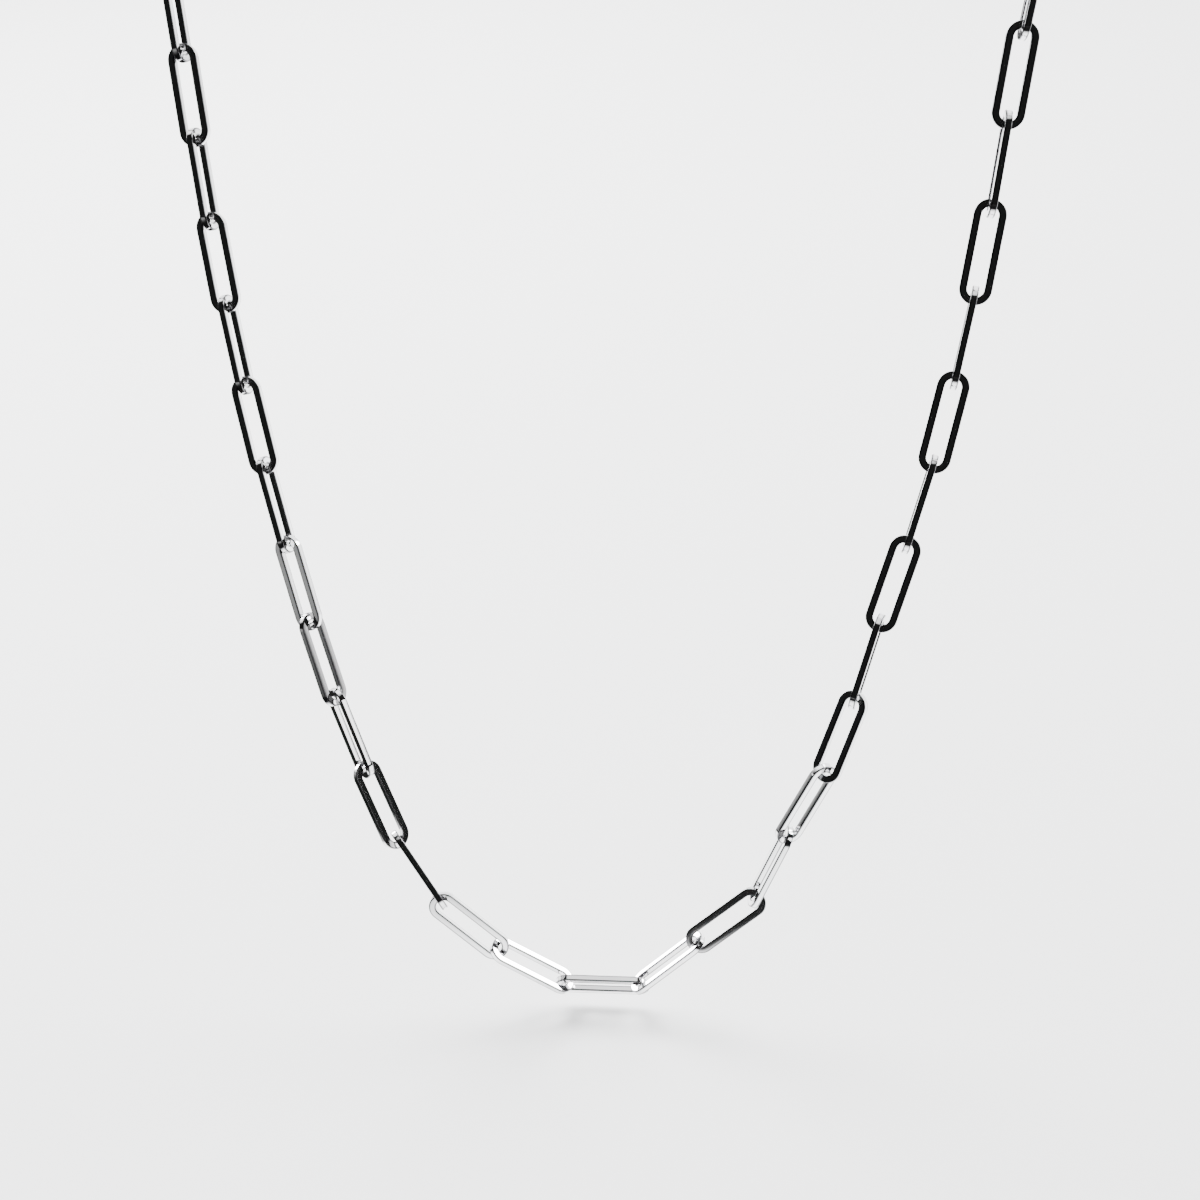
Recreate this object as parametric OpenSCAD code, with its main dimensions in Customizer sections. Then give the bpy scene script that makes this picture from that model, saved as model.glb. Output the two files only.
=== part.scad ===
// Paperclip chain necklace, in millimetres, shaped as it hangs when it is worn.
// The origin is the middle of the clasp at the nape, +Z is up, and the front of the chain faces -Y.

/* [Link] */
// Length of one link, over its round ends
link_length = 10.3; // [7.5:0.1:14.5]
// Width of one link, over its two straight legs
link_width = 3.2; // [3.1:0.1:4.2]
// Width of the wire, across the flat face of the link
wire_width = 0.76; // [0.5:0.01:0.78]
// Thickness of the wire, through the flat face of the link
wire_thick = 0.68; // [0.5:0.02:0.7]
// Bevel along the four edges of the wire
wire_bevel = 0.08; // [0.07:0.01:0.12]
// Clearance between the wires of two links where they hook together
link_gap = 0.36; // [0.34:0.02:0.6]

/* [Clasp] */
// Length of the clasp, over its round ends
clasp_length = 13; // [10:0.5:18]
// Width of the clasp, over its two straight legs
clasp_width = 4.6; // [4:0.1:6]
// Width of the clasp's wire, across its flat face
clasp_wire = 1; // [0.8:0.05:1.2]
// Thickness of the clasp's wire, through its flat face
clasp_thick = 0.8; // [0.6:0.05:0.9]
// Turn of the clasp about its length, at which it lies flat on the nape
clasp_turn = 120; // [110:5:135]

/* [Chain] */
// Number of links in each half behind the neck, between the front run and the clasp
back_links = 12; // [9:1:15]

/* [Hidden] */

// Points that the chain passes on its way from the left end of the clasp, over the left shoulder, down the front,
// round the bottom and back over the right shoulder. They are chosen by hand, in half millimetres.
route = [
    [-14.5, -1.5, -0.5], [-28.5, -8, -2], [-40.5, -19, -5], [-46.5, -34, -9.5], [-47, -48, -17], [-44.5, -59.5, -29],
    [-41.5, -68, -45], [-37.5, -77.5, -68], [-32, -86, -91], [-24.5, -93.5, -114],
    [-17, -97, -129], [-11, -97.5, -134.5], [-4, -97, -139.5],
    [4, -97, -139.5], [10.5, -96, -133.5], [17, -95, -128], [20, -94, -120.5],
    [24, -93, -113], [29, -88.5, -98], [34, -83, -82.5], [37.5, -77, -67.5], [41.5, -68, -44],
    [45, -59.5, -28.5], [47.5, -48, -16], [46.5, -34, -9], [40.5, -19, -4.5], [28.5, -8, -2], [14.5, -1, -0.5]
];

// Turn of each front link about its own length, from link_01 to link_29. At zero its flat face looks along
// front_view. The upper left links and the upper right ones alternate by a quarter turn, and the links round the
// bottom have slipped away from it, as loose links do.
front_turns = [
    -72, 18, -72, 18, -72, 19, -72, 34, -51, 58, -36, 81, 15, -49,
    54,
    -69, 2, -78, 38, -33, 76, -8, 86, -5, 84, -4, 89, -1, -88
];

// Direction that the turns are measured from: in front of the chain, a little to its right and above it.
front_azimuth = 8;
front_elevation = 30;
front_view = [
    sin(front_azimuth) * cos(front_elevation),
    -cos(front_azimuth) * cos(front_elevation),
    sin(front_elevation)
];

front_links = len(front_turns);
links = front_links + 2 * back_links;
// Distance between the two places where a link hooks into its neighbours.
pitch = link_length - 2 * wire_width - link_gap;
// Half the distance between the middles of two wires that hook together.
half_hook = (wire_width + link_gap) / 2;
// Places where the back runs hook into the clasp.
clasp_reach = clasp_length / 2 - clasp_wire - link_gap / 2;
clasp_left = [-clasp_reach, 0, 0];
clasp_right = [clasp_reach, 0, 0];

// Fineness of the curves, steps of each search by halving, coarse step along the route, and the least and the most
// that the route is stretched.
$fn = 64;
halvings = 22;
coarse_step = 0.25;
least_stretch = 0.5;
most_stretch = 2;

function unit(v) = v / norm(v);

// Item i of a list that runs round in a ring.
function ring(list, i) = list[(i + len(list)) % len(list)];

// Points that the whole loop passes, with the route stretched about the nape by k. The ends stay on the clasp.
function knots(k) = concat([clasp_left], k * route, [clasp_right]);

// Direction of the loop at each of the points p, between the directions to its two neighbours.
function slopes(p) = [
    for (i = [0 : len(p) - 1])
        let (
            before = p[i] - ring(p, i - 1),
            after = ring(p, i + 1) - p[i],
            u = norm(before),
            v = norm(after)
        )
        (before * v / u + after * u / v) / (u + v)
];

// Place on the loop at t, which is a whole number at each of the points p.
function spot(p, s, t) =
    let (
        i = floor(t),
        f = t - i,
        a = ring(p, i),
        b = ring(p, i + 1),
        d = norm(b - a)
    )
    a * (2 * pow(f, 3) - 3 * pow(f, 2) + 1)
    + b * (3 * pow(f, 2) - 2 * pow(f, 3))
    + ring(s, i) * d * (pow(f, 3) - 2 * pow(f, 2) + f)
    + ring(s, i + 1) * d * (pow(f, 3) - pow(f, 2));

// The first value of t, in coarse steps, that lies a pitch or more from the place here.
function too_far(p, s, here, t) = norm(spot(p, s, t) - here) < pitch ? too_far(p, s, here, t + coarse_step) : t;

// The value of t at one pitch from the place here, between near and far.
function one_pitch(p, s, here, near, far, n = halvings) =
    let (t = (near + far) / 2)
    n == 0 ? t
    : norm(spot(p, s, t) - here) < pitch ? one_pitch(p, s, here, t, far, n - 1)
    : one_pitch(p, s, here, near, t, n - 1);

function next_t(p, s, t) =
    let (here = spot(p, s, t))
    one_pitch(p, s, here, t, too_far(p, s, here, t));

// Values of t at which the links hook together, one pitch apart, from the left end of the clasp.
function hook_ts(p, s) = [for (i = 0, t = 0; i <= links; i = i + 1, t = next_t(p, s, t)) t];

function last_t(p) = hook_ts(p, slopes(p))[links];

// The stretch of the route at which the last link ends on the right end of the clasp.
function closing(low, high, n = halvings) =
    let (k = (low + high) / 2)
    n == 0 ? k
    : last_t(knots(k)) > len(route) + 1 ? closing(k, high, n - 1)
    : closing(low, k, n - 1);

loop = knots(closing(least_stretch, most_stretch));
loop_slopes = slopes(loop);
hooks = [for (t = hook_ts(loop, loop_slopes)) spot(loop, loop_slopes, t)];

// An angle's distance from the nearest half turn.
function from_half_turn(a) = a - 180 * round(a / 180);

// Turn of the link that lies n places behind a front link, where the clasp lies at back_links + 1. Each link turns
// a quarter from the one before it, and a little more or less, so that the clasp comes out flat on the nape.
function back_turn(front_turn, n) =
    let (steps = back_links + 1)
    front_turn + n * (90 + from_half_turn(clasp_turn - front_turn - 90 * steps) / steps);

// Turn of link i, counted from the left end of the clasp.
function turn_of(i) =
    i < back_links ? back_turn(front_turns[0], back_links - i)
    : i < back_links + front_links ? front_turns[i - back_links]
    : back_turn(front_turns[front_links - 1], i - back_links - front_links + 1);

// Directions of a link that runs from a to b: along its length, across its width and out of its flat face.
function directions(a, b, turn) =
    let (
        along = unit(b - a),
        front = unit(front_view - (front_view * along) * along),
        face = cos(turn) * front + sin(turn) * cross(along, front)
    )
    [along, cross(face, along), face];

// The direction across the width of link i. The clasp comes before the first link and after the last.
function across_of(i) =
    i < 0 || i == links ? directions(clasp_right, clasp_left, clasp_turn)[1]
    : directions(hooks[i], hooks[i + 1], turn_of(i))[1];

// Direction in which two wires pass each other at hook i, with each wire in the middle of the other's bend.
function hook_direction(i) =
    let (
        d = unit(cross(across_of(i - 1), across_of(i))),
        onward = hooks[min(i + 1, links)] - hooks[max(i - 1, 0)]
    )
    d * onward > 0 ? d : -d;

// Middle of the wire at the two ends of link i, each half a hook away from the place where it hooks.
function start_of(i) = hooks[i] - half_hook * hook_direction(i);
function end_of(i) = hooks[i + 1] + half_hook * hook_direction(i + 1);

// Lays what it is given between the places a and b: its X runs from a to b and its Z is the turned face.
module lay_between(a, b, turn) {
    d = directions(a, b, turn);
    middle = (a + b) / 2;
    multmatrix([
        [d[0].x, d[1].x, d[2].x, middle.x],
        [d[0].y, d[1].y, d[2].y, middle.y],
        [d[0].z, d[1].z, d[2].z, middle.z],
        [0, 0, 0, 1]
    ])
        children();
}

// Section of the wire: four flat faces with a bevel between each two.
module wire_section(width, thick) {
    u = width / 2;
    v = thick / 2;
    c = wire_bevel;
    polygon([
        [u - c, v], [u, v - c], [u, c - v], [u - c, -v],
        [c - u, -v], [-u, c - v], [-u, v - c], [c - u, v]
    ]);
}

// A closed link of two straight legs along X and two round ends, flat in XY.
module closed_link(length, width, wire, thick) {
    bend = (width - wire) / 2;
    leg = length - width;
    for (side = [-1, 1]) {
        translate([-leg / 2, side * bend, 0])
            rotate([90, 0, 90])
                linear_extrude(leg)
                    wire_section(wire, thick);
        translate([side * leg / 2, 0, 0])
            rotate([0, 0, -90 * side])
                rotate_extrude(angle = 180)
                    translate([bend, 0])
                        wire_section(wire, thick);
    }
}

module chain_link(i) {
    color("silver")
        lay_between(start_of(i), end_of(i), turn_of(i))
            closed_link(link_length, link_width, wire_width, wire_thick);
}

module front_link(number) {
    chain_link(back_links + number - 1);
}

module link_01() { front_link(1); }
module link_02() { front_link(2); }
module link_03() { front_link(3); }
module link_04() { front_link(4); }
module link_05() { front_link(5); }
module link_06() { front_link(6); }
module link_07() { front_link(7); }
module link_08() { front_link(8); }
module link_09() { front_link(9); }
module link_10() { front_link(10); }
module link_11() { front_link(11); }
module link_12() { front_link(12); }
module link_13() { front_link(13); }
module link_14() { front_link(14); }
module link_15() { front_link(15); }
module link_16() { front_link(16); }
module link_17() { front_link(17); }
module link_18() { front_link(18); }
module link_19() { front_link(19); }
module link_20() { front_link(20); }
module link_21() { front_link(21); }
module link_22() { front_link(22); }
module link_23() { front_link(23); }
module link_24() { front_link(24); }
module link_25() { front_link(25); }
module link_26() { front_link(26); }
module link_27() { front_link(27); }
module link_28() { front_link(28); }
module link_29() { front_link(29); }

// The hidden links from the clasp's left end to link_01.
module back_run_left() {
    for (i = [0 : back_links - 1]) chain_link(i);
}

// The hidden links from link_29 to the clasp's right end.
module back_run_right() {
    for (i = [0 : back_links - 1]) chain_link(back_links + front_links + i);
}

// The hidden clasp, one plain closed piece that passes through the last link of each back run.
module clasp() {
    color("silver")
        lay_between(clasp_right, clasp_left, clasp_turn)
            closed_link(clasp_length, clasp_width, clasp_wire, clasp_thick);
}

link_01();
link_02();
link_03();
link_04();
link_05();
link_06();
link_07();
link_08();
link_09();
link_10();
link_11();
link_12();
link_13();
link_14();
link_15();
link_16();
link_17();
link_18();
link_19();
link_20();
link_21();
link_22();
link_23();
link_24();
link_25();
link_26();
link_27();
link_28();
link_29();
back_run_left();
back_run_right();
clasp();
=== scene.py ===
"""Paperclip chain necklace: polished silver links, hooked into a loop that hangs as it is worn."""

import math

import bpy
import numpy as np
from mathutils import Matrix, Vector


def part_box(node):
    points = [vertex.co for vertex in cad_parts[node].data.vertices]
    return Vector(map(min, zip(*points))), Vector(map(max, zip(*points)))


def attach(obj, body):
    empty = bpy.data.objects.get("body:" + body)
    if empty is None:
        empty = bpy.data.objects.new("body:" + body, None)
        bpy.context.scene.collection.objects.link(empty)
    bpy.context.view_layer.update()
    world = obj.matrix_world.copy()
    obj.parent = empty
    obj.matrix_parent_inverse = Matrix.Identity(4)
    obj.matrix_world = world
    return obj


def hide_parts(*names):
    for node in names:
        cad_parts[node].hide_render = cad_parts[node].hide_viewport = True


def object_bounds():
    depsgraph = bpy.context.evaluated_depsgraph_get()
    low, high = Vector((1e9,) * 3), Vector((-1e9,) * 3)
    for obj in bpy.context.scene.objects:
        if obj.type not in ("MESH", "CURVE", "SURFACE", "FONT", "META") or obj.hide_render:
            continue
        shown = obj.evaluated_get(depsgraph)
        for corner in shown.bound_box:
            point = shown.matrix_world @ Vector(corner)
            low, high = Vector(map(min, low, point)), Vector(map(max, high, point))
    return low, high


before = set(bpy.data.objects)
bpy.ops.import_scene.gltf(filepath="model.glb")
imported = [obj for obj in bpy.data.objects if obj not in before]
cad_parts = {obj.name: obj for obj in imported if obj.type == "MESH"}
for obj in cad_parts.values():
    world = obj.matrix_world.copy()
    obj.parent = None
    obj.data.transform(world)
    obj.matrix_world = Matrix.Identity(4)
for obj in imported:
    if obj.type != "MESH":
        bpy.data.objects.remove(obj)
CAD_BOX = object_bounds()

bl_info = {
    "name": "Paperclip chain necklace",
    "version": (1, 0, 0),
    "blender": (4, 5, 0),
    "location": "3D View > Sidebar > Necklace",
    "description": "Makes the silver links and the clasp of a paperclip chain, and a pale studio for it",
    "category": "Add Mesh",
}

MM = 0.001
BODY = "root"
FRONT_LINKS = sorted(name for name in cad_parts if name.startswith("link_"))
BACK_RUNS = ["back_run_left", "back_run_right"]
CLASP = "clasp"

# Distance under which two corners of the frame's triangles count as one
SAME_PLACE = 0.0005 * MM

# Names of the wire's flat coordinates and of the mask of its four edges, which carries their painted shade, in each
# mesh
WIRE_COORDINATES = "wire"
EDGE_MASK = "edge"

# Scale of the scratches along and across the wire per millimetre, and of the other patterns per metre
SCRATCH_SCALE = (1.2, 16.0, 1.0)
RIPPLE_SCALE = 420.0
TARNISH_SCALE = 160.0
PAPER_SCALE = 9.0

# Share of the paper's colour that its darkest clouds keep
PAPER_SHADE = 0.975

# Places on the left where the painted dark reflection of the floor begins to turn grey and is greyest, as multiples of
# the distance from the chain's middle to its left side
PAINTED_HAZE_REACH = (2, 5)

# Side of the square key light, and its distance from the middle of the chain
KEY_LIGHT_SIDE = 0.35
KEY_LIGHT_DISTANCE = 0.6


# Settings

class WireSizes(bpy.types.PropertyGroup):
    """Sizes of the wire. The outer size of each link and of the clasp comes from the frame."""

    link_wire: bpy.props.FloatProperty(
        name="Link wire", description="Width of a link's wire across the flat face", unit="LENGTH",
        default=0.76 * MM, min=0.4 * MM, max=0.9 * MM, precision=5)
    clasp_wire: bpy.props.FloatProperty(
        name="Clasp wire", description="Width of the clasp's wire across the flat face", unit="LENGTH",
        default=1.0 * MM, min=0.7 * MM, max=1.3 * MM, precision=5)
    corner: bpy.props.FloatProperty(
        name="Corner", description="Radius of the wire's four rounded edges, as a share of its thickness",
        default=0.15, min=0.02, max=0.4, subtype="FACTOR")
    crown: bpy.props.FloatProperty(
        name="Crown", description="Tilt of the wire's slightly round faces at their edges", subtype="ANGLE",
        default=math.radians(1.5), min=0.0, max=math.radians(20))
    corner_steps: bpy.props.IntProperty(
        name="Corner steps", description="Faces round each edge of the wire", default=4, min=2, max=8)
    side_steps: bpy.props.IntProperty(
        name="Side steps", description="Faces across each side of the wire", default=6, min=2, max=12)
    bend_steps: bpy.props.IntProperty(
        name="Bend steps", description="Faces along each round end", default=30, min=8, max=60)
    leg_steps: bpy.props.IntProperty(
        name="Leg steps", description="Faces along each straight leg", default=6, min=1, max=40)


class SilverFinish(bpy.types.PropertyGroup):
    """Colour, polish and wear of the silver, and the painted shade on its edges."""

    color: bpy.props.FloatVectorProperty(
        name="Silver", description="Colour of the polished silver", subtype="COLOR", size=3,
        default=(0.93, 0.93, 0.94), min=0.0, max=1.0)
    tarnish: bpy.props.FloatVectorProperty(
        name="Tarnish", description="Colour of the faint clouds of tarnish", subtype="COLOR", size=3,
        default=(0.62, 0.61, 0.62), min=0.0, max=1.0)
    # The edges' colour is painted shade: the wire's four rounded edges are painted dark, in place of the dark room
    # that the polished silver mirrors there.
    edge_shade_color: bpy.props.FloatVectorProperty(
        name="Edges", description="Colour of the wire's four edges, where tarnish gathers",
        subtype="COLOR", size=3, default=(0.14, 0.14, 0.145), min=0.0, max=1.0)
    link_roughness: bpy.props.FloatProperty(
        name="Link roughness", description="Roughness of a polished link", default=0.07,
        min=0.0, max=1.0, subtype="FACTOR")
    clasp_roughness: bpy.props.FloatProperty(
        name="Clasp roughness", description="Roughness of the clasp", default=0.12,
        min=0.0, max=1.0, subtype="FACTOR")
    wear_depth: bpy.props.FloatProperty(
        name="Wear depth", description="Depth of the fine scratches", default=0.0006 * MM,
        min=0.0, max=0.01 * MM, precision=7, unit="LENGTH")
    ripple_depth: bpy.props.FloatProperty(
        name="Ripple depth", description="Depth of the soft ripples that rolling leaves in the wire",
        default=0.004 * MM, min=0.0, max=0.05 * MM, precision=7, unit="LENGTH")


class StudioSettings(bpy.types.PropertyGroup):
    """Floor, light and camera."""

    ground_color: bpy.props.FloatVectorProperty(
        name="Ground", description="Colour of the pale floor and backdrop", subtype="COLOR", size=3,
        default=(0.86, 0.865, 0.87), min=0.0, max=1.0)
    ground_gap: bpy.props.FloatProperty(
        name="Ground gap", description="Height of the lowest link above the floor", unit="LENGTH",
        default=1.5 * MM, min=0.0, max=0.3)
    ground_reach: bpy.props.FloatProperty(
        name="Ground reach", description="Distance from the chain to the edges of the floor", unit="LENGTH",
        default=2.5, min=0.3, max=10.0)
    # No table ends here: the four settings below place a painted dark reflection, in which the silver mirrors the
    # floor as dark past a front and a left line, with a painted grey haze far on the left.
    painted_reflection_front: bpy.props.FloatVectorProperty(
        name="Table edge", description="Distances in front of the chain at which the silver mirrors the floor as pale "
        "and as dark", size=2, unit="LENGTH", default=(4 * MM, 92 * MM))
    painted_reflection_turn: bpy.props.FloatProperty(
        name="Table turn", description="Turn of the table's front edge to the left", subtype="ANGLE",
        default=math.radians(12), min=-math.pi / 4, max=math.pi / 4)
    painted_reflection_side: bpy.props.FloatVectorProperty(
        name="Table side", description="Distances to the left of the chain's middle at which the silver mirrors the "
        "floor as pale and as dark", size=2, unit="LENGTH", default=(38 * MM, 52 * MM))
    painted_reflection_haze: bpy.props.FloatProperty(
        name="Haze on the left", description="Greyness of the dark part of the floor, far on the left, in the mirror",
        default=0.08, min=0.0, max=1.0, subtype="FACTOR")
    room_bright: bpy.props.FloatProperty(
        name="Bright side", description="Strength of the room's two lamps, of which its other lights have a share",
        default=30.0, min=0.0, max=100.0)
    room_dark: bpy.props.FloatProperty(
        name="Dark side", description="Strength of the light from the dark side of the room, round the camera",
        default=0.012, min=0.0, max=5.0)
    backdrop_color: bpy.props.FloatVectorProperty(
        name="Backdrop", description="Colour of the pale backdrop past the floor", subtype="COLOR", size=3,
        default=(0.97, 0.985, 1.0), min=0.0, max=1.0)
    backdrop_bright: bpy.props.FloatProperty(
        name="Backdrop light", description="Strength of the backdrop as the camera sees it",
        default=3.7, min=0.0, max=20.0)
    key_power: bpy.props.FloatProperty(
        name="Key light", description="Power of the soft light above the chain", unit="POWER",
        default=13.5, min=0.0, max=500.0)
    camera_azimuth: bpy.props.FloatProperty(
        name="Azimuth", description="Turn of the camera to the chain's right", subtype="ANGLE",
        default=math.radians(8), min=-math.pi, max=math.pi)
    camera_elevation: bpy.props.FloatProperty(
        name="Elevation", description="Height of the camera above the horizon", subtype="ANGLE",
        default=math.radians(30), min=-math.pi / 2, max=math.pi / 2)
    camera_roll: bpy.props.FloatProperty(
        name="Roll", description="Tilt of the picture", subtype="ANGLE",
        default=math.radians(-3), min=-math.pi, max=math.pi)
    camera_distance: bpy.props.FloatProperty(
        name="Distance", description="Distance from the camera to the point that it aims at", unit="LENGTH",
        default=200 * MM, min=0.05, max=5.0)
    camera_aim: bpy.props.FloatVectorProperty(
        name="Aim", description="Point in the middle of the picture, from the middle of the lowest link",
        subtype="TRANSLATION", size=3, default=(1.2 * MM, 5.4 * MM, 45.4 * MM))
    focal_length: bpy.props.FloatProperty(
        name="Focal length", description="Focal length of the lens, on a sensor 36 mm wide, in millimetres",
        default=60.0, min=10.0, max=300.0)


# Places of the links, measured on the frame

def triangle_corners(node):
    """The corners of a node's triangles, as an array of triangles by corners by coordinates."""
    mesh = node.data
    mesh.calc_loop_triangles()
    points = np.empty(len(mesh.vertices) * 3)
    mesh.vertices.foreach_get("co", points)
    ids = np.empty(len(mesh.loop_triangles) * 3, dtype=np.int64)
    mesh.loop_triangles.foreach_get("vertices", ids)
    return points.reshape(-1, 3)[ids].reshape(-1, 3, 3)


def loose_solids(corners):
    """Splits the triangles into solids that don't touch. Corners at the same place count as one."""
    _, ids = np.unique(np.round(corners.reshape(-1, 3) / SAME_PLACE).astype(np.int64), axis=0,
                       return_inverse=True)
    ids = ids.reshape(-1, 3)
    label = np.arange(ids.max() + 1)
    while True:
        lowest = label[ids].min(axis=1)
        new = label.copy()
        for column in range(3):
            np.minimum.at(new, ids[:, column], lowest)
        new = new[new]
        if np.array_equal(new, label):
            break
        label = new
    of_triangle = label[ids[:, 0]]
    return [corners[of_triangle == name] for name in np.unique(of_triangle)]


def link_place(corners):
    """Middle, directions and size of one link: along its length, across its width and out of its flat face."""
    area = np.linalg.norm(np.cross(corners[:, 1] - corners[:, 0], corners[:, 2] - corners[:, 0]), axis=1) / 2
    total = corners.sum(axis=1)
    middle = (area[:, None] * total / 3).sum(axis=0) / area.sum()
    local = corners - middle
    sums = local.sum(axis=1)
    spread = np.einsum("t,tci,tcj->ij", area, local, local) + np.einsum("t,ti,tj->ij", area, sums, sums)
    _, vectors = np.linalg.eigh(spread)
    along, across = vectors[:, 2], vectors[:, 1]
    directions = np.array([along, across, np.cross(along, across)])
    reach = local.reshape(-1, 3) @ directions.T
    middle = middle + ((reach.max(axis=0) + reach.min(axis=0)) / 2) @ directions
    return middle, directions, reach.max(axis=0) - reach.min(axis=0)


# Meshes of the links

def wire_section(width, thick, sizes):
    """Outline of the wire, anticlockwise: four slightly round faces that run smoothly into four round edges. With
    it come the outward direction at each of its points, and whether the point lies on an edge."""
    radius = sizes.corner * thick
    tilt = sizes.crown
    bulge = math.tan(tilt) / 2
    half = np.array([width, thick]) / 2
    inner = half - radius * (math.cos(tilt) - math.sin(tilt))
    face = (inner - bulge * inner[::-1]) / (1 - bulge ** 2)
    points, normals, on_edge = [], [], []
    for quarter in range(4):
        turn = quarter * math.pi / 2
        out = np.array([math.cos(turn), math.sin(turn)])
        side = np.array([-out[1], out[0]])
        reach, flat = abs(out @ half), abs(side @ face)
        for step in range(1, sizes.side_steps):
            share = 2 * step / sizes.side_steps - 1
            slope = math.atan(2 * bulge * share)
            points.append(out * (reach - bulge * flat * share ** 2) + side * flat * share)
            normals.append(math.cos(slope) * out + math.sin(slope) * side)
            on_edge.append(0.0)
        end = out * (reach - bulge * flat) + side * flat
        centre = end - radius * (math.cos(tilt) * out + math.sin(tilt) * side)
        for step in range(sizes.corner_steps + 1):
            a = tilt + step / sizes.corner_steps * (math.pi / 2 - 2 * tilt)
            normal = math.cos(a) * out + math.sin(a) * side
            points.append(centre + radius * normal)
            normals.append(normal)
            on_edge.append(1.0)
    return np.array(points), np.array(normals), np.array(on_edge)


def wire_route(length, width, wire, sizes):
    """Rings along a closed link, as places, outward directions and distances along the wire, flat in XY."""
    bend = (width - wire) / 2
    leg = length - width
    places, outs = [], []
    for side in (1, -1):
        for step in range(sizes.bend_steps + 1):
            a = math.pi * (step / sizes.bend_steps - side / 2)
            out = np.array([math.cos(a), math.sin(a)])
            places.append(np.array([side * leg / 2, 0]) + bend * out)
            outs.append(out)
        for step in range(1, sizes.leg_steps):
            places.append(np.array([side * leg * (0.5 - step / sizes.leg_steps), side * bend]))
            outs.append(np.array([0.0, side]))
    places, outs = np.array(places), np.array(outs)
    steps = np.linalg.norm(np.roll(places, -1, axis=0) - places, axis=1)
    return places, outs, np.concatenate([[0], np.cumsum(steps)])


def link_mesh(middle, directions, size, wire, sizes):
    """Points, normals, faces, wire coordinates and edge mask of one closed link."""
    section, section_normals, on_edge = wire_section(wire, size[2], sizes)
    places, outs, distances = wire_route(size[0], size[1], wire, sizes)
    rings, sides = len(places), len(section)

    def swept(values):
        """Values across and through the wire, carried along all rings, in the frame's directions."""
        across = outs[:, None, :] * values[None, :, :1]
        through = np.broadcast_to(values[None, :, 1:], (rings, sides, 1))
        return np.concatenate([across, through], axis=2).reshape(-1, 3) @ directions

    points = middle + np.repeat(places @ directions[:2], sides, axis=0) + swept(section)
    normals = swept(section_normals)
    ring, side = np.meshgrid(np.arange(rings), np.arange(sides), indexing="ij")
    next_ring, next_side = (ring + 1) % rings, (side + 1) % sides
    faces = np.stack([ring * sides + side, next_ring * sides + side,
                      next_ring * sides + next_side, ring * sides + next_side], axis=-1).reshape(-1, 4)
    edge = np.linalg.norm(np.roll(section, -1, axis=0) - section, axis=1)
    around = np.concatenate([[0], np.cumsum(edge)])
    low, high = distances[ring], distances[ring + 1]
    start, end = around[side], around[side + 1]
    uvs = np.stack([low, start, high, start, high, end, low, end], axis=-1).reshape(-1, 2)
    return points, normals, faces, uvs, np.tile(on_edge, rings)


def silver_piece(name, node_name, wire, material):
    """One piece that stands for a node: a finely made link at the place of each of the node's links."""
    sizes = bpy.context.scene.necklace_wire
    points, normals, faces, uvs, edges = [], [], [], [], []
    for corners in loose_solids(triangle_corners(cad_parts[node_name])):
        new_points, new_normals, new_faces, new_uvs, new_edges = link_mesh(*link_place(corners), wire, sizes)
        faces.append(new_faces + sum(len(p) for p in points))
        points.append(new_points)
        normals.append(new_normals)
        uvs.append(new_uvs)
        edges.append(new_edges)
    mesh = bpy.data.meshes.new(name)
    mesh.from_pydata(np.concatenate(points).tolist(), [], np.concatenate(faces).tolist())
    layer = mesh.uv_layers.new(name=WIRE_COORDINATES)
    layer.data.foreach_set("uv", (np.concatenate(uvs) / MM).ravel())
    mesh.attributes.new(EDGE_MASK, "FLOAT", "POINT").data.foreach_set("value", np.concatenate(edges))
    mesh.shade_smooth()
    mesh.normals_split_custom_set_from_vertices(np.concatenate(normals).tolist())
    mesh.materials.append(material)
    piece = bpy.data.objects.new(name, mesh)
    bpy.context.scene.collection.objects.link(piece)
    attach(piece, BODY)
    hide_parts(node_name)
    return piece


# Materials

def new_node(tree, kind, place, **values):
    """Adds a node at a place on the sheet and sets its plain fields and its inputs."""
    node = tree.nodes.new(kind)
    node.location = place
    for key, value in values.items():
        if hasattr(node, key):
            setattr(node, key, value)
        else:
            node.inputs[key].default_value = value
    return node


def ramp(tree, place, start, end, low=0.0, high=1.0, **values):
    """Adds a node that turns the values from start to end into those from low to high."""
    ends = {"From Min": start, "From Max": end, "To Min": low, "To Max": high}
    return new_node(tree, "ShaderNodeMapRange", place, **ends, **values)


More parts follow.
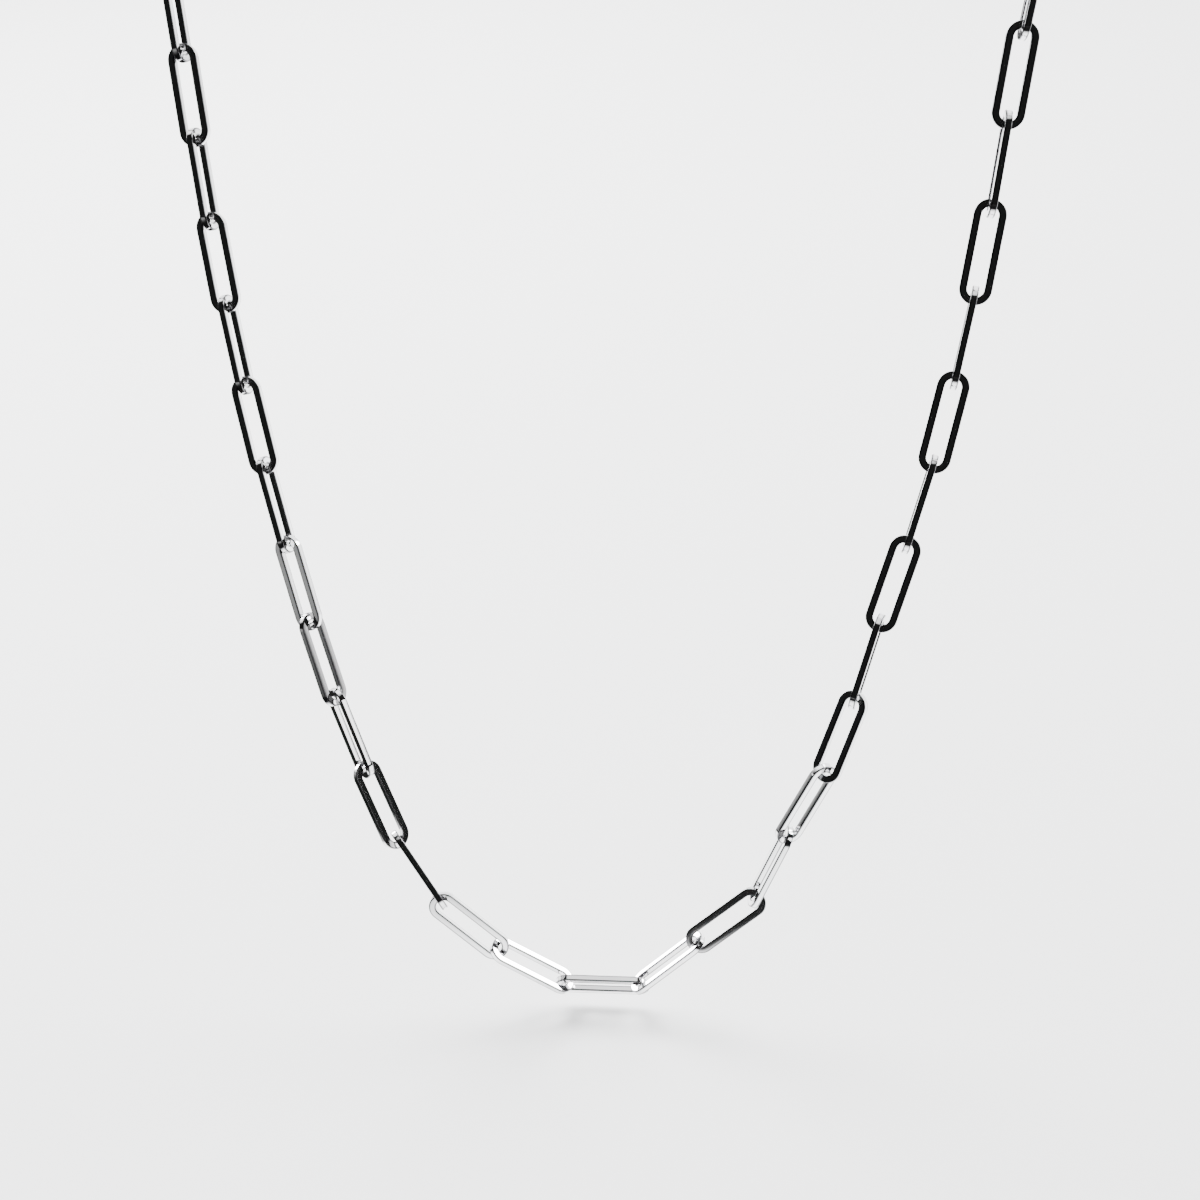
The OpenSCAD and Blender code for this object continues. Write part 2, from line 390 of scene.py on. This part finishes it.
def wear_group():
    """Fine scratches along the wire, soft ripples, and faint tarnish, as one group of nodes. It also passes on the
    mask of the wire's four edges, which carries their painted shade.
    """
    name = "silver wear"
    if name in bpy.data.node_groups:
        return bpy.data.node_groups[name]
    tree = bpy.data.node_groups.new(name, "ShaderNodeTree")
    for label, kind, value in (
        ("Silver", "NodeSocketColor", (0.93, 0.93, 0.94, 1)),
        ("Tarnish", "NodeSocketColor", (0.62, 0.61, 0.62, 1)),
        ("Base Roughness", "NodeSocketFloat", 0.07),
        ("Scratch Depth", "NodeSocketFloat", 0.0),
        ("Ripple Depth", "NodeSocketFloat", 0.0),
    ):
        tree.interface.new_socket(label, in_out="INPUT", socket_type=kind).default_value = value
    tree.interface.new_socket("Color", in_out="OUTPUT", socket_type="NodeSocketColor")
    tree.interface.new_socket("Roughness", in_out="OUTPUT", socket_type="NodeSocketFloat")
    tree.interface.new_socket("Height", in_out="OUTPUT", socket_type="NodeSocketFloat")
    tree.interface.new_socket("Edge", in_out="OUTPUT", socket_type="NodeSocketFloat")
    link = tree.links.new
    given = new_node(tree, "NodeGroupInput", (-900, 0))
    result = new_node(tree, "NodeGroupOutput", (900, 0))
    wire = new_node(tree, "ShaderNodeUVMap", (-900, -300), uv_map=WIRE_COORDINATES)
    place = new_node(tree, "ShaderNodeTexCoord", (-900, -500))

    stretch = new_node(tree, "ShaderNodeMapping", (-700, -300), Scale=SCRATCH_SCALE)
    scratches = new_node(tree, "ShaderNodeTexNoise", (-500, -300), Scale=1.0, Detail=4.0, Roughness=0.7)
    ripples = new_node(tree, "ShaderNodeTexNoise", (-500, -500), Scale=RIPPLE_SCALE, Detail=1.0, Roughness=0.4)
    clouds = new_node(tree, "ShaderNodeTexNoise", (-500, -700), Scale=TARNISH_SCALE, Detail=3.0, Roughness=0.6)
    link(wire.outputs["UV"], stretch.inputs["Vector"])
    link(stretch.outputs["Vector"], scratches.inputs["Vector"])
    link(place.outputs["Object"], ripples.inputs["Vector"])
    link(place.outputs["Object"], clouds.inputs["Vector"])

    scratch_height = new_node(tree, "ShaderNodeMath", (-200, -300), operation="MULTIPLY")
    ripple_height = new_node(tree, "ShaderNodeMath", (-200, -500), operation="MULTIPLY")
    height = new_node(tree, "ShaderNodeMath", (100, -400), operation="ADD")
    link(scratches.outputs["Fac"], scratch_height.inputs[0])
    link(given.outputs["Scratch Depth"], scratch_height.inputs[1])
    link(ripples.outputs["Fac"], ripple_height.inputs[0])
    link(given.outputs["Ripple Depth"], ripple_height.inputs[1])
    link(scratch_height.outputs["Value"], height.inputs[0])
    link(ripple_height.outputs["Value"], height.inputs[1])
    link(height.outputs["Value"], result.inputs["Height"])

    dull = ramp(tree, (-200, 0), 0.45, 0.75, 0.0, 0.3)
    rougher = ramp(tree, (-200, 300), 0.3, 0.7, 0.7, 1.5)
    roughness = new_node(tree, "ShaderNodeMath", (100, 300), operation="MULTIPLY")
    color = new_node(tree, "ShaderNodeMix", (100, 0), data_type="RGBA")
    # The mask of the wire's four edges, passed on for their painted shade.
    edge = new_node(tree, "ShaderNodeAttribute", (100, 600), attribute_name=EDGE_MASK)
    link(clouds.outputs["Fac"], dull.inputs["Value"])
    link(scratches.outputs["Fac"], rougher.inputs["Value"])
    link(rougher.outputs["Result"], roughness.inputs[0])
    link(given.outputs["Base Roughness"], roughness.inputs[1])
    link(roughness.outputs["Value"], result.inputs["Roughness"])
    link(dull.outputs["Result"], color.inputs["Factor"])
    link(given.outputs["Silver"], color.inputs["A"])
    link(given.outputs["Tarnish"], color.inputs["B"])
    link(color.outputs["Result"], result.inputs["Color"])
    link(edge.outputs["Fac"], result.inputs["Edge"])
    return tree


def silver_material(name, roughness):
    """Polished silver with fine scratches along the wire, and painted shade on its four edges."""
    if name in bpy.data.materials:
        return bpy.data.materials[name]
    finish = bpy.context.scene.necklace_silver
    material = bpy.data.materials.new(name)
    material.use_nodes = True
    tree = material.node_tree
    shader = tree.nodes["Principled BSDF"]
    shader.inputs["Metallic"].default_value = 1.0
    wear = new_node(tree, "ShaderNodeGroup", (-600, 0), node_tree=wear_group())
    wear.inputs["Silver"].default_value = (*finish.color, 1)
    wear.inputs["Tarnish"].default_value = (*finish.tarnish, 1)
    wear.inputs["Base Roughness"].default_value = roughness
    wear.inputs["Scratch Depth"].default_value = finish.wear_depth
    wear.inputs["Ripple Depth"].default_value = finish.ripple_depth
    bump = new_node(tree, "ShaderNodeBump", (-300, -300), Strength=1.0, Distance=1.0)
    # Painted shade: the base colour turns dark on the wire's four edges.
    color = new_node(tree, "ShaderNodeMix", (-200, 100), data_type="RGBA")
    color.inputs["B"].default_value = (*finish.edge_shade_color, 1)
    link = tree.links.new
    link(wear.outputs["Edge"], color.inputs["Factor"])
    link(wear.outputs["Color"], color.inputs["A"])
    link(color.outputs["Result"], shader.inputs["Base Color"])
    link(wear.outputs["Roughness"], shader.inputs["Roughness"])
    link(wear.outputs["Height"], bump.inputs["Height"])
    link(bump.outputs["Normal"], shader.inputs["Normal"])
    return material


def ground_material(studio):
    """Matt pale paper with faint cloudiness. Painted dark reflection: in the silver's mirror only, the paper's colour
    is painted dark past a front line and a left line, and a little grey far on the left; the camera and the lights see
    it pale."""
    material = bpy.data.materials.new("pale paper")
    material.use_nodes = True
    tree = material.node_tree
    shader = tree.nodes["Principled BSDF"]
    shader.inputs["Roughness"].default_value = 0.9
    shader.inputs["Specular IOR Level"].default_value = 0.1
    place = new_node(tree, "ShaderNodeTexCoord", (-1100, 0))
    clouds = new_node(tree, "ShaderNodeTexNoise", (-900, 0), Scale=PAPER_SCALE, Detail=3.0)
    paper = new_node(tree, "ShaderNodeMix", (-500, 0), data_type="RGBA")
    paper.inputs["A"].default_value = (*studio.ground_color, 1)
    paper.inputs["B"].default_value = (*[PAPER_SHADE * c for c in studio.ground_color], 1)
    # Painted dark reflection: masks of the floor past the front line and past the left line, where the mirrored paper
    # is painted dark, with a painted grey haze far on the left.
    forward = new_node(tree, "ShaderNodeVectorMath", (-900, -300), operation="DOT_PRODUCT")
    forward.inputs[1].default_value = (-math.sin(studio.painted_reflection_turn), -math.cos(studio.painted_reflection_turn), 0)
    front = [distance - CAD_BOX[0].y for distance in studio.painted_reflection_front]
    edge = ramp(tree, (-700, -300), *front, interpolation_type="SMOOTHSTEP")
    split = new_node(tree, "ShaderNodeSeparateXYZ", (-900, -900))
    left = [-distance for distance in studio.painted_reflection_side]
    side = ramp(tree, (-700, -1200), *left, interpolation_type="SMOOTHSTEP")
    past = new_node(tree, "ShaderNodeMath", (-600, -450), operation="MAXIMUM")
    far_left = [times * CAD_BOX[0].x for times in PAINTED_HAZE_REACH]
    haze = ramp(tree, (-700, -900), *far_left, 0.0, studio.painted_reflection_haze)
    # Only glossy rays see the painted dark reflection.
    path = new_node(tree, "ShaderNodeLightPath", (-700, -600))
    mirrored = new_node(tree, "ShaderNodeMath", (-500, -300), operation="MULTIPLY")
    color = new_node(tree, "ShaderNodeMix", (-300, 0), data_type="RGBA")
    link = tree.links.new
    link(place.outputs["Object"], clouds.inputs["Vector"])
    link(clouds.outputs["Fac"], paper.inputs["Factor"])
    link(place.outputs["Object"], split.inputs["Vector"])
    link(place.outputs["Object"], forward.inputs[0])
    link(forward.outputs["Value"], edge.inputs["Value"])
    link(split.outputs["X"], haze.inputs["Value"])
    link(split.outputs["X"], side.inputs["Value"])
    link(edge.outputs["Result"], past.inputs[0])
    link(side.outputs["Result"], past.inputs[1])
    link(haze.outputs["Result"], color.inputs["B"])
    link(past.outputs["Value"], mirrored.inputs[0])
    link(path.outputs["Is Glossy Ray"], mirrored.inputs[1])
    link(mirrored.outputs["Value"], color.inputs["Factor"])
    link(paper.outputs["Result"], color.inputs["A"])
    link(color.outputs["Result"], shader.inputs["Base Color"])
    return material


# Studio

def ground(studio):
    """One flat pale sheet under the chain."""
    low, high = CAD_BOX
    floor = low.z - studio.ground_gap
    reach = studio.ground_reach
    points = [(x, y, floor) for y in (low.y - reach, high.y + reach) for x in (-reach, reach)]
    mesh = bpy.data.meshes.new("ground")
    mesh.from_pydata(points, [], [(0, 1, 3, 2)])
    mesh.materials.append(ground_material(studio))
    sheet = bpy.data.objects.new("ground", mesh)
    bpy.context.scene.collection.objects.link(sheet)


def toward(azimuth, elevation):
    """Direction from the chain, turned to its right from straight behind it, and raised from the horizon."""
    a, e = math.radians(azimuth), math.radians(elevation)
    return Vector((math.sin(a) * math.cos(e), math.cos(a) * math.cos(e), math.sin(e)))


def camera_directions(studio):
    """Right, up and backward directions of the camera."""
    a, e, r = studio.camera_azimuth, studio.camera_elevation, studio.camera_roll
    back = Vector((math.sin(a) * math.cos(e), -math.cos(a) * math.cos(e), math.sin(e)))
    level = Vector((math.cos(a), math.sin(a), 0))
    upright = back.cross(level)
    right = level * math.cos(r) + upright * math.sin(r)
    return right, back.cross(right), back


# Bright parts of the room: the direction to the middle of each, how far from it, as the cosine of the angle, its
# light begins and is full, and its share of the full strength.
BRIGHT_PARTS = (
    ("behind", toward(-2, 0), 0.13, 0.45, 0.11),
    ("above", toward(0, 90), 0.9, 0.985, 0.065),
    ("window", toward(118, 24), 0.964, 0.971, 0.13),
    ("right lamp", toward(57, 34), 0.94, 0.98, 1.0),
    ("left lamp", toward(-44, 4), 0.95, 0.98, 1.0),
)


def room(studio):
    """Soft light from behind and above, a window on the right, two lamps, and a dark room on the camera's side. The
    camera itself sees a pale backdrop in their place."""
    world = bpy.data.worlds.new("room")
    bpy.context.scene.world = world
    world.use_nodes = True
    tree = world.node_tree
    link = tree.links.new
    shown = tree.nodes["World Output"]
    light = tree.nodes["Background"]
    light.inputs["Color"].default_value = (1, 1, 1, 1)
    backdrop = new_node(tree, "ShaderNodeBackground", (0, -300))
    backdrop.inputs["Color"].default_value = (*studio.backdrop_color, 1)
    backdrop.inputs["Strength"].default_value = studio.backdrop_bright
    place = new_node(tree, "ShaderNodeTexCoord", (-1400, 0))
    brightest = None
    for row, (label, direction, begins, full, share) in enumerate(BRIGHT_PARTS):
        nearness = new_node(tree, "ShaderNodeVectorMath", (-1200, -300 * row), operation="DOT_PRODUCT", label=label)
        nearness.inputs[1].default_value = direction
        part = ramp(tree, (-1000, -300 * row), begins, full, 0.0, share, interpolation_type="SMOOTHSTEP")
        link(place.outputs["Generated"], nearness.inputs[0])
        link(nearness.outputs["Value"], part.inputs["Value"])
        if brightest is None:
            brightest = part.outputs["Result"]
        else:
            either = new_node(tree, "ShaderNodeMath", (-800 + 200 * row, -300 * row), operation="MAXIMUM")
            link(brightest, either.inputs[0])
            link(part.outputs["Result"], either.inputs[1])
            brightest = either.outputs["Value"]
    strength = ramp(tree, (-200, 0), 0.0, 1.0, studio.room_dark, studio.room_bright)
    link(brightest, strength.inputs["Value"])
    link(strength.outputs["Result"], light.inputs["Strength"])
    path = new_node(tree, "ShaderNodeLightPath", (0, 300))
    choice = new_node(tree, "ShaderNodeMixShader", (300, 0))
    link(path.outputs["Is Camera Ray"], choice.inputs["Fac"])
    link(light.outputs["Background"], choice.inputs[1])
    link(backdrop.outputs["Background"], choice.inputs[2])
    link(choice.outputs["Shader"], shown.inputs["Surface"])


def key_light(studio):
    """One soft square light above and behind the chain, on its left, which the silver doesn't mirror."""
    low, high = CAD_BOX
    data = bpy.data.lights.new("key light", "AREA")
    data.shape = "SQUARE"
    data.size = KEY_LIGHT_SIDE
    data.energy = studio.key_power
    light = bpy.data.objects.new("key light", data)
    aim = (low + high) / 2
    light.location = aim + KEY_LIGHT_DISTANCE * toward(-35, 50)
    light.rotation_euler = (aim - light.location).to_track_quat("-Z", "Y").to_euler()
    light.visible_camera = False
    light.visible_glossy = False
    bpy.context.scene.collection.objects.link(light)


def studio_camera(studio):
    """The camera, at the photo's viewing angle, set by its distance from the lowest link."""
    lowest = min((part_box(name) for name in FRONT_LINKS), key=lambda box: box[0].z)
    aim = (lowest[0] + lowest[1]) / 2 + Vector(studio.camera_aim)
    right, up, back = camera_directions(studio)
    data = bpy.data.cameras.new("camera")
    data.lens = studio.focal_length
    data.sensor_width = 36.0
    data.clip_start = 0.005
    data.clip_end = 20.0
    camera = bpy.data.objects.new("camera", data)
    turn = Matrix((right, up, back)).transposed().to_4x4()
    camera.matrix_world = Matrix.Translation(aim + back * studio.camera_distance) @ turn
    bpy.context.scene.collection.objects.link(camera)
    bpy.context.scene.camera = camera


# Operators

class NECKLACE_OT_front_links(bpy.types.Operator):
    """Make the 29 links that hang in front, each one piece"""

    bl_idname = "necklace.front_links"
    bl_label = "Front links"
    bl_options = {"REGISTER", "UNDO"}

    def execute(self, context):
        material = silver_material("link silver", context.scene.necklace_silver.link_roughness)
        for name in FRONT_LINKS:
            silver_piece("silver_" + name, name, context.scene.necklace_wire.link_wire, material)
        return {"FINISHED"}


class NECKLACE_OT_back_runs(bpy.types.Operator):
    """Make the two runs of links behind the neck, each run one piece"""

    bl_idname = "necklace.back_runs"
    bl_label = "Back runs"
    bl_options = {"REGISTER", "UNDO"}

    def execute(self, context):
        material = silver_material("link silver", context.scene.necklace_silver.link_roughness)
        for name in BACK_RUNS:
            silver_piece("silver_" + name, name, context.scene.necklace_wire.link_wire, material)
        return {"FINISHED"}


class NECKLACE_OT_clasp(bpy.types.Operator):
    """Make the plain closed clasp at the nape"""

    bl_idname = "necklace.clasp"
    bl_label = "Clasp"
    bl_options = {"REGISTER", "UNDO"}

    def execute(self, context):
        material = silver_material("clasp silver", context.scene.necklace_silver.clasp_roughness)
        silver_piece("silver_" + CLASP, CLASP, context.scene.necklace_wire.clasp_wire, material)
        return {"FINISHED"}


class NECKLACE_OT_studio(bpy.types.Operator):
    """Make the pale ground, the soft light and the camera"""

    bl_idname = "necklace.studio"
    bl_label = "Studio"
    bl_options = {"REGISTER", "UNDO"}

    def execute(self, context):
        studio = context.scene.necklace_studio
        ground(studio)
        room(studio)
        key_light(studio)
        studio_camera(studio)
        return {"FINISHED"}


class NECKLACE_PT_sidebar(bpy.types.Panel):
    """Lists the sizes, the finish and the operators"""

    bl_label = "Paperclip chain"
    bl_space_type = "VIEW_3D"
    bl_region_type = "UI"
    bl_category = "Necklace"

    def draw(self, context):
        scene = context.scene
        for title, group in (
            ("Wire", scene.necklace_wire), ("Silver", scene.necklace_silver), ("Studio", scene.necklace_studio),
        ):
            box = self.layout.box()
            box.label(text=title)
            for name in group.__annotations__:
                box.prop(group, name)
        for operator in OPERATORS:
            self.layout.operator(operator.bl_idname)


GROUPS = {"necklace_wire": WireSizes, "necklace_silver": SilverFinish, "necklace_studio": StudioSettings}
OPERATORS = (NECKLACE_OT_front_links, NECKLACE_OT_back_runs, NECKLACE_OT_clasp, NECKLACE_OT_studio)


def register():
    for name, group in GROUPS.items():
        bpy.utils.register_class(group)
        setattr(bpy.types.Scene, name, bpy.props.PointerProperty(type=group))
    for made in (*OPERATORS, NECKLACE_PT_sidebar):
        bpy.utils.register_class(made)


def unregister():
    for made in reversed((*OPERATORS, NECKLACE_PT_sidebar)):
        bpy.utils.unregister_class(made)
    for name, group in reversed(GROUPS.items()):
        delattr(bpy.types.Scene, name)
        bpy.utils.unregister_class(group)


def main():
    register()
    bpy.ops.necklace.front_links()
    bpy.ops.necklace.back_runs()
    bpy.ops.necklace.clasp()
    bpy.ops.necklace.studio()


if __name__ == "__main__":
    main()
